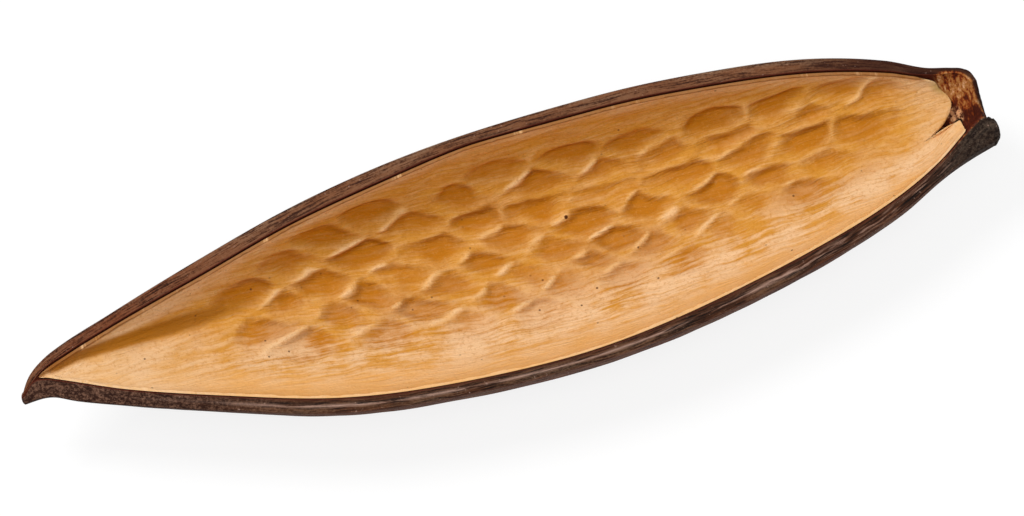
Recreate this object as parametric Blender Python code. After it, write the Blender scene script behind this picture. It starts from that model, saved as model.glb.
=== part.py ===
"""Canoe pod: one half of a split woody seed pod, lying open side up.

The pod is a dark woody husk, boat shaped, with a thin tan lining that lies loose in it. The seeds have pressed
a staggered net of hollows into the lining, which is torn at the stalk end.

Lengths in the constants are millimetres. X runs from the tip of the pod to its stalk, +Y is the far side and
+Z is up. Sections are worked out with the rim at height 0 and x counted from the tip, and are then set so that
the pod stands on Z = 0 with the middle of its box over the origin.
"""

import math

import bmesh
import bpy
from mathutils import Vector, noise

MM = 0.001
WELD = 1e-7

# Edges of the rim seen from above, as (x from the tip, y): outer and inner edge on the far and near side.
FAR_OUTER = (
    (0.0, 1.5), (0.9, 2.8), (1.9, 3.9), (4.7, 5.7), (9.4, 7.7), (18.7, 10.6), (37.4, 16.4), (56.2, 21.5),
    (74.9, 24.9), (93.6, 26.7), (117.0, 27.4), (140.4, 26.1), (159.1, 23.5), (173.1, 19.1), (180.0, 15.7),
    (184.4, 14.5), (186.9, 13.6), (188.1, 12.4), (188.6, 10.8),
)
FAR_INNER = (
    (0.0, 0.9), (2.6, 2.8), (4.7, 4.0), (9.4, 5.7), (18.7, 8.5), (37.4, 13.6), (56.2, 18.7), (74.9, 21.9),
    (93.6, 23.8), (117.0, 24.0), (140.4, 22.7), (159.1, 20.2), (173.1, 16.2), (178.0, 14.3), (181.5, 13.6),
    (185.2, 13.1), (186.7, 12.0), (187.4, 10.6),
)
NEAR_INNER = (
    (0.0, 0.5), (2.6, 2.4), (4.7, 2.0), (6.1, 1.4), (9.4, -0.1), (18.7, -4.3), (37.4, -10.8), (56.2, -16.3),
    (74.9, -19.3), (98.3, -20.6), (121.7, -18.7), (149.8, -12.7), (168.5, -7.0), (177.8, -2.5), (184.4, 2.0),
    (187.4, 3.8),
)
NEAR_OUTER = (
    (0.0, -0.7), (4.7, -1.4), (9.4, -3.6), (18.7, -7.2), (37.4, -13.6), (56.2, -19.1), (74.9, -21.7),
    (98.3, -22.8), (121.7, -21.3), (149.8, -15.7), (168.5, -9.7), (177.8, -5.3), (184.4, -2.7), (188.6, -1.5),
)
# The keel: its depth under the rim and its sideways place, as (x from the tip, value).
KEEL_DEPTH = (
    (0.0, 2.2), (4.7, 3.4), (9.4, 4.8), (18.7, 7.4), (37.4, 12.4), (56.2, 16.6), (74.9, 19.5), (102.0, 21.2),
    (124.0, 20.0), (149.8, 15.6), (168.5, 11.4), (177.8, 9.2), (188.6, 7.0),
)
KEEL_Y = (
    (0.0, 0.6), (4.7, 2.2), (9.4, 3.6), (18.7, 5.6), (32.0, 6.8), (56.2, 6.2), (97.0, 4.2), (140.4, 4.6),
    (168.5, 5.2), (188.6, 4.6),
)
# How full the section is: 2 is an ellipse, and less is nearer a V.
FULLNESS = ((0.0, 1.75), (9.4, 1.6), (37.4, 1.75), (84.0, 2.05), (150.0, 2.1), (187.0, 2.0))

HUSK_END = 188.6
KEEL_WALL = 2.5
THIN_WALL = 0.35
RIM_ROUND = 0.4
RIM_CROWN = 0.15
BULGE = 0.55
CAVITY = (2.6, 187.4)
END_WALL_SLOPE = 9.0
TIP_SLOPE = 6.0

# The broken stub at the near corner of the stalk end: centre and half sizes across, where it ends, and how
# knobbly it is. The end wall beside it is dished.
STUB_CENTRE = (1.1, -2.6)
STUB_HALF = (2.6, 3.2)
STUB_X = ((188.6, 1.0), (189.2, 0.95), (189.7, 0.84), (190.05, 0.68), (190.2, 0.48))
KNOB = 0.2
KNOB_SIZE = 1.5
END_DIP = 1.2
END_DIP_WIDTH = 2.5
END_DIP_START = 186.0

# The beak at the tip, which hooks down: how far it drops, how long it is, and how its end is rounded off.
BEAK_DROP = 1.6
BEAK_LENGTH = 7.0
BEAK_CENTRE = (0.35, -0.7)
BEAK_X = ((-0.26, 0.9), (-0.48, 0.6), (-0.6, 0.25))

# Lengthwise ridges of the husk's outside, and its slow unevenness.
RIDGE_HEIGHT = 0.22
RIDGE_COUNT = 13
WAVINESS = 0.25
WAVE_LENGTH = 26.0

GAP = 0.3
LINING_EDGE = 0.5
LINING_FLOOR = 1.0
LINING_DROP = 0.55
LINING_START = 3.6
# The lining's torn end, as (angle round the section in degrees from the far rim, x from the tip).
LINING_END = (
    (0.0, 177.6), (7.0, 179.0), (14.0, 180.2), (35.0, 181.0), (49.0, 181.8), (62.0, 182.0), (73.0, 181.3),
    (84.0, 180.0), (96.0, 177.8), (101.0, 177.4), (104.0, 180.6), (107.0, 182.8), (180.0, 184.0),
)
LINING_NOMINAL_END = 180.0
TEAR_REACH = 26.0
# At both ends the lining's two faces meet at this share of the way from its back to its face.
END_LEVEL = 0.6

# The rows of seed hollows, from the far wall to the near one: the place across the lining, as an arc length
# from the valley, of the row's first and last hollow, and then each hollow's x.
SEED_ROWS = (
    (18.0, 12.5, (97.0, 111.0, 124.0, 140.0, 152.0, 163.0)),
    (15.5, 9.5, (72.0, 89.0, 105.0, 117.5, 129.0, 141.0, 156.0, 169.0)),
    (12.0, 5.0, (62.0, 80.0, 91.0, 104.0, 117.0, 131.0, 144.0, 155.0, 166.0)),
    (7.8, 0.5, (54.0, 68.0, 82.0, 97.0, 111.5, 124.0, 137.0, 148.0, 157.0)),
    (3.6, -3.2, (46.0, 60.0, 75.0, 91.0, 104.0, 116.5, 130.0, 143.0, 153.0)),
    (0.2, -5.4, (52.0, 68.0, 84.0, 98.0, 111.5, 123.0, 136.0)),
    (-3.6, -8.4, (48.0, 62.0, 78.0, 92.0, 105.0, 116.0, 127.0)),
    (-8.0, -10.4, (55.0, 70.0, 85.0, 98.0)),
)
SEED_HALF = (6.6, 3.7)
# Each hollow has a steep far wall and a long near slope, as a seed that lay aslant leaves it.
HOLLOW = 0.75
HOLLOW_TILT = (0.2, 0.45)
WALL_REACH = (1.25, 0.55)
NET_EDGE = (0.95, 1.6)
SPREAD_ALONG = (1.5, 9.0)
SPREAD_ACROSS = (0.8, 7.0)
THINNEST = 0.35

# The flat spot that the pod rests on: its place, and how much of the keel it takes off.
REST_X = 102.0
REST_CUT = 0.42
REST_HALF = (15.0, 8.0)

HUSK_STEPS = 54
HUSK_OUTSIDE = 28
HUSK_INSIDE = 30
LINING_STEPS = 76
LINING_POINTS = 30


def smooth_step(low, high, value):
    """0 below low, 1 above high, and an even rise between them."""
    share = min(max((value - low) / (high - low), 0.0), 1.0)
    return share * share * (3.0 - 2.0 * share)


def curve(points, x):
    """The value at x of a smooth curve through the points, which does not overshoot them."""
    if x <= points[0][0]:
        return points[0][1]
    if x >= points[-1][0]:
        return points[-1][1]
    last = len(points) - 1
    i = next(k for k in range(last) if points[k + 1][0] >= x)
    (x0, y0), (x1, y1) = points[i], points[i + 1]
    slope = (y1 - y0) / (x1 - x0)
    before = (y0 - points[i - 1][1]) / (x0 - points[i - 1][0]) if i > 0 else slope
    after = (points[i + 2][1] - y1) / (points[i + 2][0] - x1) if i + 1 < last else slope
    start = (before + slope) / 2 if before * slope > 0 else 0.0
    end = (after + slope) / 2 if after * slope > 0 else 0.0
    start = math.copysign(min(abs(start), 3 * abs(slope)), start)
    end = math.copysign(min(abs(end), 3 * abs(slope)), end)
    u = (x - x0) / (x1 - x0)
    width = x1 - x0
    return (
        (1 + 2 * u) * (1 - u) ** 2 * y0
        + u * (1 - u) ** 2 * width * start
        + u * u * (3 - 2 * u) * y1
        + u * u * (u - 1) * width * end
    )


def spread(first, last, count, finest):
    """Stations from first to last, evenly apart except at both ends, where they close up to finest."""
    middle = (last - first) / (count - 4.0)
    steps = []
    for k in range(count):
        edge = min(k, count - 1 - k)
        steps.append(finest + (middle - finest) * smooth_step(-1.0, 9.0, edge))
    scale = (last - first) / sum(steps)
    places = [first]
    for step in steps:
        places.append(places[-1] + step * scale)
    return places


def waviness(x, side):
    """The slow unevenness of the rim, which keeps the two sides from running quite true."""
    return WAVINESS * noise.noise(Vector((x / WAVE_LENGTH, side * 3.7, 0.4)))


def arc(far, near, keel, depth, full, angle):
    """A point of a boat section: y and z, at an angle of 0 on the far rim and pi on the near one."""
    c, s = math.cos(angle), math.sin(angle)
    half = far - keel if c >= 0 else keel - near
    y = keel + half * math.copysign(abs(c) ** (2 / full), c)
    return y, -depth * abs(s) ** (2 / full)


def end_share(x):
    """How open the cavity is at x: 0 at its two ends, and 1 away from them."""
    from_tip = min(max((x - CAVITY[0]) / TIP_SLOPE, 0.0), 1.0)
    from_stalk = min(max((CAVITY[1] - x) / END_WALL_SLOPE, 0.0), 1.0)
    return min(1 - (1 - from_tip) ** 1.5, 1 - (1 - from_stalk) ** 1.8)


def husk_outside(x, angle):
    """A point of the husk's outer face at station x, with its bulge under the rim and its ridges."""
    far, near = curve(FAR_OUTER, x) + waviness(x, 1), curve(NEAR_OUTER, x) - waviness(x, -1)
    keel, depth = curve(KEEL_Y, x), curve(KEEL_DEPTH, x)
    y, z = arc(far, near, keel, depth - RIM_ROUND, curve(FULLNESS, x), angle)
    z -= RIM_ROUND
    from_rim = min(angle, math.pi - angle)
    size = min(1.0, depth / 6.0)
    swell = BULGE * size * math.sin(min(3 * from_rim, math.pi))
    away = math.hypot((x - REST_X) / REST_HALF[0], (y - keel) / REST_HALF[1])
    turn = RIDGE_COUNT * angle + 1.2 * noise.noise(Vector((x / 30.0, angle * 2.0, 7.0)))
    ridge = RIDGE_HEIGHT * size * math.sin(2 * turn) * smooth_step(0.05, 0.4, from_rim)
    ridge *= smooth_step(0.8, 1.6, away)
    grow = swell + ridge
    return y + grow * math.cos(angle), z - grow * math.sin(angle)


def husk_inside(x, angle):
    """A point of the husk's inner face, which closes up at the tip and against the end wall."""
    far, near = curve(FAR_INNER, x) + waviness(x, 1), curve(NEAR_INNER, x) - waviness(x, -1)
    depth = max(cavity_depth(x), 0.02)
    y, z = arc(far, near, cavity_keel(x, far, near), depth, curve(FULLNESS, x), angle)
    return y, z - RIM_CROWN


def husk_ring(x):
    """The closed outline of the husk at station x, from the near rim under the keel and back inside."""
    outside = [husk_outside(x, math.pi * (1 - k / HUSK_OUTSIDE)) for k in range(HUSK_OUTSIDE + 1)]
    inside = [husk_inside(x, math.pi * k / HUSK_INSIDE) for k in range(HUSK_INSIDE + 1)]
    far_rim = rim_top(outside[-1], inside[0])
    near_rim = rim_top(inside[-1], outside[0])
    return [(x, y, z) for y, z in outside + far_rim + inside + near_rim]


def rim_top(start, end):
    """Two points over the rim between one face and the other."""
    run = end[0] - start[0]
    return [(start[0] + 0.2 * run, 0.0), (start[0] + 0.75 * run, 0.0)]


def drooped(points):
    """The points with the beak's end bent down."""
    bent = []
    for x, y, z in points:
        share = min(max((BEAK_LENGTH - x) / BEAK_LENGTH, 0.0), 1.2)
        bent.append((x, y - 0.25 * BEAK_DROP * share ** 2, z - BEAK_DROP * share ** 2))
    return bent


def shrunk(ring, x, share):
    """The ring drawn in towards the middle of the beak, and moved to station x."""
    y0, z0 = BEAK_CENTRE
    return [(x, y0 + share * (y - y0), z0 + share * (z - z0)) for _, y, z in ring]


def stub_ring(section, x, share):
    """An outline of the stub at x, with each point in the direction that it has on the husk's last section."""
    ring = []
    for _, y, z in section:
        turn = math.atan2(z - STUB_CENTRE[1], y - STUB_CENTRE[0])
        out = Vector((STUB_HALF[0] * share * math.cos(turn), STUB_HALF[1] * share * math.sin(turn)))
        place = Vector((x, STUB_CENTRE[0] + out.x, STUB_CENTRE[1] + out.y))
        knob = 1.0 + KNOB * noise.noise(place / KNOB_SIZE)
        ring.append((x, STUB_CENTRE[0] + out.x * knob, STUB_CENTRE[1] + out.y * knob))
    return ring


def dished(ring):
    """The ring with the middle of the stalk end's wall drawn in."""
    middle = (curve(FAR_OUTER, HUSK_END) + STUB_CENTRE[0]) / 2
    points = []
    for x, y, z in ring:
        depth = END_DIP * math.exp(-((y - middle) / END_DIP_WIDTH) ** 2)
        points.append((x - depth * smooth_step(END_DIP_START, HUSK_END, x), y, z))
    return points


def husk_rings():
    """All the outlines of the husk, from the beak to the stub."""
    rings = [dished(husk_ring(x)) for x in spread(0.0, HUSK_END, HUSK_STEPS, 0.6)]
    beak = [shrunk(rings[0], x, share) for x, share in reversed(BEAK_X)]
    stub = [stub_ring(rings[-1], x, share) for x, share in STUB_X]
    return [drooped(ring) for ring in beak + rings] + stub


def cavity_depth(x):
    """How deep the husk's cavity is under its rim at x."""
    depth = curve(KEEL_DEPTH, x)
    return (depth - min(KEEL_WALL, THIN_WALL * depth)) * end_share(x)


def cavity_keel(x, far, near):
    """The sideways place of the cavity's valley, kept off both rims."""
    margin = 0.3 * (far - near)
    return min(max(curve(KEEL_Y, x), near + margin), far - margin)


def lining_section(x):
    """The lining's back at station x: far edge, near edge, keel, depth, fullness and drop under the rim."""
    far = curve(FAR_INNER, x) + waviness(x, 1)
    near = curve(NEAR_INNER, x) - waviness(x, -1)
    floor = RIM_CROWN + cavity_depth(x)
    drop = min(LINING_DROP, 0.25 * floor)
    return far - GAP, near + GAP, cavity_keel(x, far, near), floor - GAP - drop, curve(FULLNESS, x), drop


def seed_places():
    """The middle of every seed hollow, as x and arc length from the valley."""
    places = []
    for first, last, row in SEED_ROWS:
        for x in row:
            share = (x - row[0]) / (row[-1] - row[0])
            places.append((x, first + share * (last - first)))
    return places


def net(x, across):
    """How deep the seed hollows are at a place on the lining: 0 on the net between them."""
    moved_x = x + SPREAD_ALONG[0] * patch(x, across, SPREAD_ALONG[1], 1.0)
    moved_across = across + SPREAD_ACROSS[0] * patch(x, across, SPREAD_ACROSS[1], 5.0)
    near = []
    for seed, (seed_x, seed_across) in enumerate(SEEDS):
        u, v = (moved_x - seed_x) / SEED_HALF[0], (moved_across - seed_across) / SEED_HALF[1]
        near.append((math.hypot(u, v), u, v, seed))
    (first, u, v, seed), (second, *_) = sorted(near)[:2]
    reach = WALL_REACH[0] + (WALL_REACH[1] - WALL_REACH[0]) * smooth_step(-0.5, 0.5, v)
    tilt = 1.0 + HOLLOW_TILT[0] * u + HOLLOW_TILT[1] * v
    deep = smooth_step(0.0, 1.0, (second - first) / reach) * tilt
    return HOLLOW * deep * seed_strength(seed) * (1.0 - smooth_step(NET_EDGE[0], NET_EDGE[1], first))


def patch(x, across, size, shift):
    """A smooth random field over the lining, with lumps of this size."""
    return noise.noise(Vector((x, 1.6 * across, 0.0)) / size + Vector((shift, shift, shift)))


def seed_strength(seed):
    """How deep this seed pressed, against the others."""
    return 0.65 + 0.45 * (0.618 * seed % 1.0)


def lining_pair(x, k):
    """Point k of the lining's back and face at station x, counted from the far edge."""
    far, near, keel, depth, full, drop = lining_section(x)
    side = min(LINING_EDGE, 0.22 * (far - near))
    floor = min(LINING_FLOOR, 0.4 * depth)
    turns = [math.pi * n / LINING_POINTS for n in range(LINING_POINTS + 1)]
    base = [Vector(arc(far - side, near + side, keel, depth - floor, full, turn)) for turn in turns]
    back = Vector(arc(far, near, keel, depth, full, turns[k]))
    steps = [(base[n + 1] - base[n]).length for n in range(LINING_POINTS)]
    across = sum(steps[:LINING_POINTS // 2]) - sum(steps[:k])
    tangent = base[min(k + 1, LINING_POINTS)] - base[max(k - 1, 0)]
    normal = Vector((tangent.y, -tangent.x)).normalized()
    sunk = min(net(x, across), (1.0 - THINNEST) * (base[k] - back).length)
    face = base[k] - normal * sunk
    return Vector((x, back.x, back.y - drop)), Vector((x, face.x, face.y - drop))


def torn_x(x, share):
    """Where station x falls on the line at this share of the way from the far edge to the near one."""
    pull = smooth_step(LINING_NOMINAL_END - TEAR_REACH, LINING_NOMINAL_END, x)
    return x + pull * (curve(LINING_END, 180.0 * share) - LINING_NOMINAL_END)


def lining_rings():
    """All the outlines of the lining, from the tip to its torn end. The two end ones are closed to an edge."""
    rings = []
    for step, x in enumerate(spread(LINING_START, LINING_NOMINAL_END, LINING_STEPS, 0.8)):
        pairs = [lining_pair(torn_x(x, k / LINING_POINTS), k) for k in range(LINING_POINTS + 1)]
        if step in (0, LINING_STEPS):
            pairs = [(back.lerp(face, END_LEVEL),) * 2 for back, face in pairs]
        back = [point for point, _ in reversed(pairs)]
        rings.append(drooped(back + [point for _, point in pairs]))
    return rings


def solid(name, rings, place, material):
    """A closed solid through the rings, set in place and shaded smooth."""
    across = len(rings[0])
    shape = bmesh.new()
    bmesh.ops.create_grid(shape, x_segments=across, y_segments=len(rings) - 1, size=1.0)
    shape.verts.ensure_lookup_table()
    for index, vert in enumerate(shape.verts):
        row, column = divmod(index, across + 1)
        vert.co = (Vector(rings[row][column % across]) + place) * MM
        vert.co.z = max(vert.co.z, 0.0)
    bmesh.ops.remove_doubles(shape, verts=shape.verts, dist=WELD)
    bmesh.ops.edgeloop_fill(shape, edges=[edge for edge in shape.edges if edge.is_boundary])
    bmesh.ops.triangulate(shape, faces=shape.faces)
    if shape.calc_volume(signed=True) < 0:
        bmesh.ops.reverse_faces(shape, faces=shape.faces)
    mesh = bpy.data.meshes.new(name)
    shape.to_mesh(mesh)
    shape.free()
    mesh.materials.append(material)
    mesh.shade_smooth()
    mesh.set_sharp_from_angle(angle=math.radians(50))
    thing = bpy.data.objects.new(name, mesh)
    bpy.context.scene.collection.objects.link(thing)
    return thing


def finish(name, colour, roughness):
    """A plain material of one colour."""
    material = bpy.data.materials.new(name)
    material.use_nodes = True
    shader = material.node_tree.nodes["Principled BSDF"]
    shader.inputs["Base Color"].default_value = (*colour, 1.0)
    shader.inputs["Roughness"].default_value = roughness
    shader.inputs["Metallic"].default_value = 0.0
    return material


def resting_place(rings):
    """The shift that puts the middle of the husk's box over the origin, and the cut keel on Z = 0."""
    low = [min(p[axis] for ring in rings for p in ring) for axis in range(3)]
    high = [max(p[axis] for ring in rings for p in ring) for axis in range(3)]
    return Vector((-(low[0] + high[0]) / 2, -(low[1] + high[1]) / 2, -low[2] - REST_CUT))


SEEDS = seed_places()


def main():
    """Clear the scene and build the pod."""
    for old in list(bpy.data.objects):
        bpy.data.objects.remove(old)
    husk = husk_rings()
    place = resting_place(husk)
    solid("husk", husk, place, finish("dark_husk", (0.075, 0.036, 0.026), 0.62))
    solid("lining", lining_rings(), place, finish("tan_lining", (0.60, 0.33, 0.11), 0.55))


main()
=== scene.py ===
"""Canoe pod: the finished look of an open half of a woody seed pod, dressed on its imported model.

The husk and its loose tan lining are both grown from a few curves, as their solids are, but as closed
skins fine enough to carry fibres, seed hollows and torn edges. Lengths in the curves are millimetres: x is
counted from the tip of the pod, y from its long axis with the far side positive, and z from the rim.
"""

import logging
import math
from dataclasses import dataclass
from enum import Enum

import bmesh
import bpy
import numpy as np
from mathutils import Matrix, Vector, noise

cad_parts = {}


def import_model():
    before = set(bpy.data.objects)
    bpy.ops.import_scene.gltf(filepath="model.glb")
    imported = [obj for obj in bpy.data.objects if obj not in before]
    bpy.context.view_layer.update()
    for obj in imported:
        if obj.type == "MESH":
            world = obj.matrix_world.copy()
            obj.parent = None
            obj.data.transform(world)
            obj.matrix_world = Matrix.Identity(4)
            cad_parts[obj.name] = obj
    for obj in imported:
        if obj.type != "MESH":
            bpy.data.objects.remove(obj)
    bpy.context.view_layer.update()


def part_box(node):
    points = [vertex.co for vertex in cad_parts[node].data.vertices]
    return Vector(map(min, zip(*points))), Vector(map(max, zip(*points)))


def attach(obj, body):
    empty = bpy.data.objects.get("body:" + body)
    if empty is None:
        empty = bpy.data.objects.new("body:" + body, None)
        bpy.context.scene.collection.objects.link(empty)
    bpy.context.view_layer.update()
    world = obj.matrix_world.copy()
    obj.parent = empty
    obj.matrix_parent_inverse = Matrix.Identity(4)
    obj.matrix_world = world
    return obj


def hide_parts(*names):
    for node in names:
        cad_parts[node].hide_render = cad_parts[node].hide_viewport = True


LOG = logging.getLogger("canoe_pod")
MM = 0.001
Colour = tuple[float, float, float]
Span = tuple[float, float]


def smooth_step(low: float, high: float, value: np.ndarray | float) -> np.ndarray:
    """Rise smoothly from 0 at low to 1 at high, or fall where low is the greater."""
    share = np.clip((np.asarray(value, float) - low) / (high - low), 0.0, 1.0)
    return share * share * (3.0 - 2.0 * share)


def bell(value: np.ndarray | float, middle: float, width: np.ndarray | float) -> np.ndarray:
    """Give a bump of height 1 round a middle value, this wide."""
    return np.exp(-(((np.asarray(value, float) - middle) / width) ** 2))


def rough(points: np.ndarray, size: float, shift: float) -> np.ndarray:
    """Read a smooth random field at many points.

    Args:
        points: Places, with three numbers in the last axis, in millimetres.
        size: The size of the field's lumps, in millimetres.
        shift: Moves the field, so that two uses of it differ.

    Returns:
        The field from about -1 to 1, in the shape of points without its last axis.
    """
    flat = (np.asarray(points, float) / size + shift).reshape(-1, 3)
    found = np.fromiter((noise.noise(Vector(p)) for p in flat), float, len(flat))
    return found.reshape(np.shape(points)[:-1])


def rough_by_axis(*lumps: np.ndarray | float, shift: float = 0.0) -> np.ndarray:
    """Read the same random field with a lump size of its own along each axis.

    Args:
        lumps: The places along the three axes, counted in lumps. A number alone holds for every place.
        shift: Moves the field, so that two uses of it differ.

    Returns:
        The field from about -1 to 1.
    """
    return rough(np.stack(np.broadcast_arrays(*lumps), axis=-1), 1.0, shift)


@dataclass(frozen=True)
class SmoothCurve:
    """A smooth curve through a few points, which does not overshoot them."""

    points: tuple[tuple[float, float], ...]

    def at(self, place: np.ndarray | float) -> np.ndarray:
        """Give the curve's values.

        Args:
            place: Where to read it.

        Returns:
            One value for each place.
        """
        xs, ys = np.array(self.points, float).T
        slope = np.diff(ys) / np.diff(xs)
        inner = np.where(slope[:-1] * slope[1:] > 0, (slope[:-1] + slope[1:]) / 2, 0.0)
        place = np.clip(np.asarray(place, float), xs[0], xs[-1])
        i = np.clip(np.searchsorted(xs, place, side="left") - 1, 0, len(slope) - 1)
        most = 3 * np.abs(slope)
        start = np.concatenate([slope[:1], np.clip(inner, -most[1:], most[1:])])[i]
        end = np.concatenate([np.clip(inner, -most[:-1], most[:-1]), slope[-1:]])[i]
        width = xs[i + 1] - xs[i]
        u = (place - xs[i]) / width
        return (
            (1 + 2 * u) * (1 - u) ** 2 * ys[i]
            + u * (1 - u) ** 2 * width * start
            + u * u * (3 - 2 * u) * ys[i + 1]
            + u * u * (u - 1) * width * end
        )


@dataclass(frozen=True)
class PodForm:
    """The curves and sizes that the husk and the lining share.

    They are those of the solids, but for the far inner edge from the middle to the stalk end, which stands
    up to a millimetre further out, as the photograph shows it.
    """

    far_outer: SmoothCurve = SmoothCurve((
        (0.0, 1.5), (0.9, 2.8), (1.9, 3.9), (4.7, 5.7), (9.4, 7.7), (18.7, 10.6), (37.4, 16.4),
        (56.2, 21.5), (74.9, 24.9), (93.6, 26.7), (117.0, 27.4), (140.4, 26.1), (159.1, 23.5),
        (173.1, 19.1), (180.0, 15.7), (184.4, 14.5), (186.9, 13.6), (188.1, 12.4), (188.6, 10.8),
    ))
    far_inner: SmoothCurve = SmoothCurve((
        (0.0, 0.9), (2.6, 2.8), (4.7, 4.0), (9.4, 5.7), (18.7, 8.5), (37.4, 13.6), (56.2, 18.7),
        (74.9, 22.1), (93.6, 24.7), (117.0, 25.0), (140.4, 23.5), (159.1, 20.9), (173.1, 16.9),
        (178.0, 14.8), (181.5, 13.8), (185.2, 13.1), (186.7, 12.0), (187.4, 10.6),
    ))
    near_inner: SmoothCurve = SmoothCurve((
        (0.0, 0.5), (2.6, 2.4), (4.7, 2.0), (6.1, 1.4), (9.4, -0.1), (18.7, -4.3), (37.4, -10.8),
        (56.2, -16.3), (74.9, -19.3), (98.3, -20.6), (121.7, -18.7), (149.8, -12.7), (168.5, -7.0),
        (177.8, -2.5), (184.4, 2.0), (187.4, 3.8),
    ))
    near_outer: SmoothCurve = SmoothCurve((
        (0.0, -0.7), (4.7, -1.4), (9.4, -3.6), (18.7, -7.2), (37.4, -13.6), (56.2, -19.1),
        (74.9, -21.7), (98.3, -22.8), (121.7, -21.3), (149.8, -15.7), (168.5, -9.7), (177.8, -5.3),
        (184.4, -2.7), (188.6, -1.5),
    ))
    keel_depth: SmoothCurve = SmoothCurve((
        (0.0, 2.2), (4.7, 3.4), (9.4, 4.8), (18.7, 7.4), (37.4, 12.4), (56.2, 16.6), (74.9, 19.5),
        (102.0, 21.2), (124.0, 20.0), (149.8, 15.6), (168.5, 11.4), (177.8, 9.2), (188.6, 7.0),
    ))
    keel_y: SmoothCurve = SmoothCurve((
        (0.0, 0.6), (4.7, 2.2), (9.4, 3.6), (18.7, 5.6), (32.0, 6.8), (56.2, 6.2), (97.0, 4.2),
        (140.4, 4.6), (168.5, 5.2), (188.6, 4.6),
    ))
    fullness: SmoothCurve = SmoothCurve(
        ((0.0, 1.75), (9.4, 1.6), (37.4, 1.75), (84.0, 2.05), (150.0, 2.1), (187.0, 2.0))
    )
    husk_end: float = 188.6
    keel_wall: float = 2.5
    thin_wall: float = 0.35
    rim_round: float = 0.4
    rim_crown: float = 0.15
    bulge: float = 0.55
    cavity: tuple[float, float] = (2.6, 187.4)
    end_wall_slope: float = 9.0
    tip_slope: float = 6.0
    beak_drop: float = 1.6
    beak_length: float = 7.0
    beak_end: float = 0.6
    beak_centre: tuple[float, float] = (0.35, -0.7)
    waviness: float = 0.25
    wave_length: float = 26.0
    rest_cut: float = 0.42

    def wave(self, x: np.ndarray, side: int) -> np.ndarray:
        """Give the slow unevenness of one rim.

        Args:
            x: Stations along the pod.
            side: 1 for the far rim and -1 for the near one.

        Returns:
            How far out the rim stands from its curve at each station.
        """
        places = [Vector((v / self.wave_length, side * 3.7, 0.4)) for v in np.ravel(x)]
        values = [self.waviness * side * noise.noise(p) for p in places]
        return np.array(values).reshape(np.shape(x))

    def section(self, far: np.ndarray, near: np.ndarray, keel: np.ndarray, depth: np.ndarray,
                full: np.ndarray, angle: np.ndarray) -> tuple[np.ndarray, np.ndarray]:
        """Give points of boat sections.

        Args:
            far: The far edge of each section.
            near: Its near edge.
            keel: The sideways place of its lowest point.
            depth: How deep it is.
            full: How full it is: 2 is an ellipse, and less is nearer a V.
            angle: 0 on the far edge and pi on the near one.

        Returns:
            The points' y and z.
        """
        c, s = np.cos(angle), np.sin(angle)
        half = np.where(c >= 0, far - keel, keel - near)
        y = keel + half * np.sign(c) * np.abs(c) ** (2 / full)
        return y, -depth * np.abs(s) ** (2 / full)

    def cavity_depth(self, x: np.ndarray) -> np.ndarray:
        """Give the depth of the husk's cavity under its rim at each station."""
        from_tip = np.clip((x - self.cavity[0]) / self.tip_slope, 0.0, 1.0)
        from_stalk = np.clip((self.cavity[1] - x) / self.end_wall_slope, 0.0, 1.0)
        share = np.minimum(1 - (1 - from_tip) ** 1.5, 1 - (1 - from_stalk) ** 1.8)
        depth = self.keel_depth.at(x)
        return (depth - np.minimum(self.keel_wall, self.thin_wall * depth)) * share

    def cavity_edges(self, x: np.ndarray) -> tuple[np.ndarray, np.ndarray, np.ndarray]:
        """Give the cavity's far edge, near edge and valley at each station."""
        far = self.far_inner.at(x) + self.wave(x, 1)
        near = self.near_inner.at(x) + self.wave(x, -1)
        margin = 0.3 * (far - near)
        return far, near, np.clip(self.keel_y.at(x), near + margin, far - margin)

    def droop(self, points: np.ndarray) -> np.ndarray:
        """Bend the beak's end of some points down, and return them."""
        share = np.clip((self.beak_length - points[..., 0]) / self.beak_length, 0.0, 1.2) ** 2
        points[..., 1] -= 0.25 * self.beak_drop * share
        points[..., 2] -= self.beak_drop * share
        return points


def stations(first: float, last: float, count: int, finest: float) -> np.ndarray:
    """Space stations evenly, but closer at both ends.

    Args:
        first: The first station.
        last: The last one.
        count: How many steps there are.
        finest: The size of the smallest steps, beside the ends.

    Returns:
        The stations in order.
    """
    edge = np.minimum(np.arange(count), np.arange(count)[::-1])
    steps = finest + ((last - first) / count - finest) * smooth_step(-1.0, count / 9, edge)
    return first + (last - first) * np.concatenate([[0.0], np.cumsum(steps) / steps.sum()])


def add_object(name: str, data: bpy.types.ID) -> bpy.types.Object:
    """Put a new object with this mesh, lamp or camera into the scene, and return it."""
    thing = bpy.data.objects.new(name, data)
    bpy.context.scene.collection.objects.link(thing)
    return thing


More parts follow.
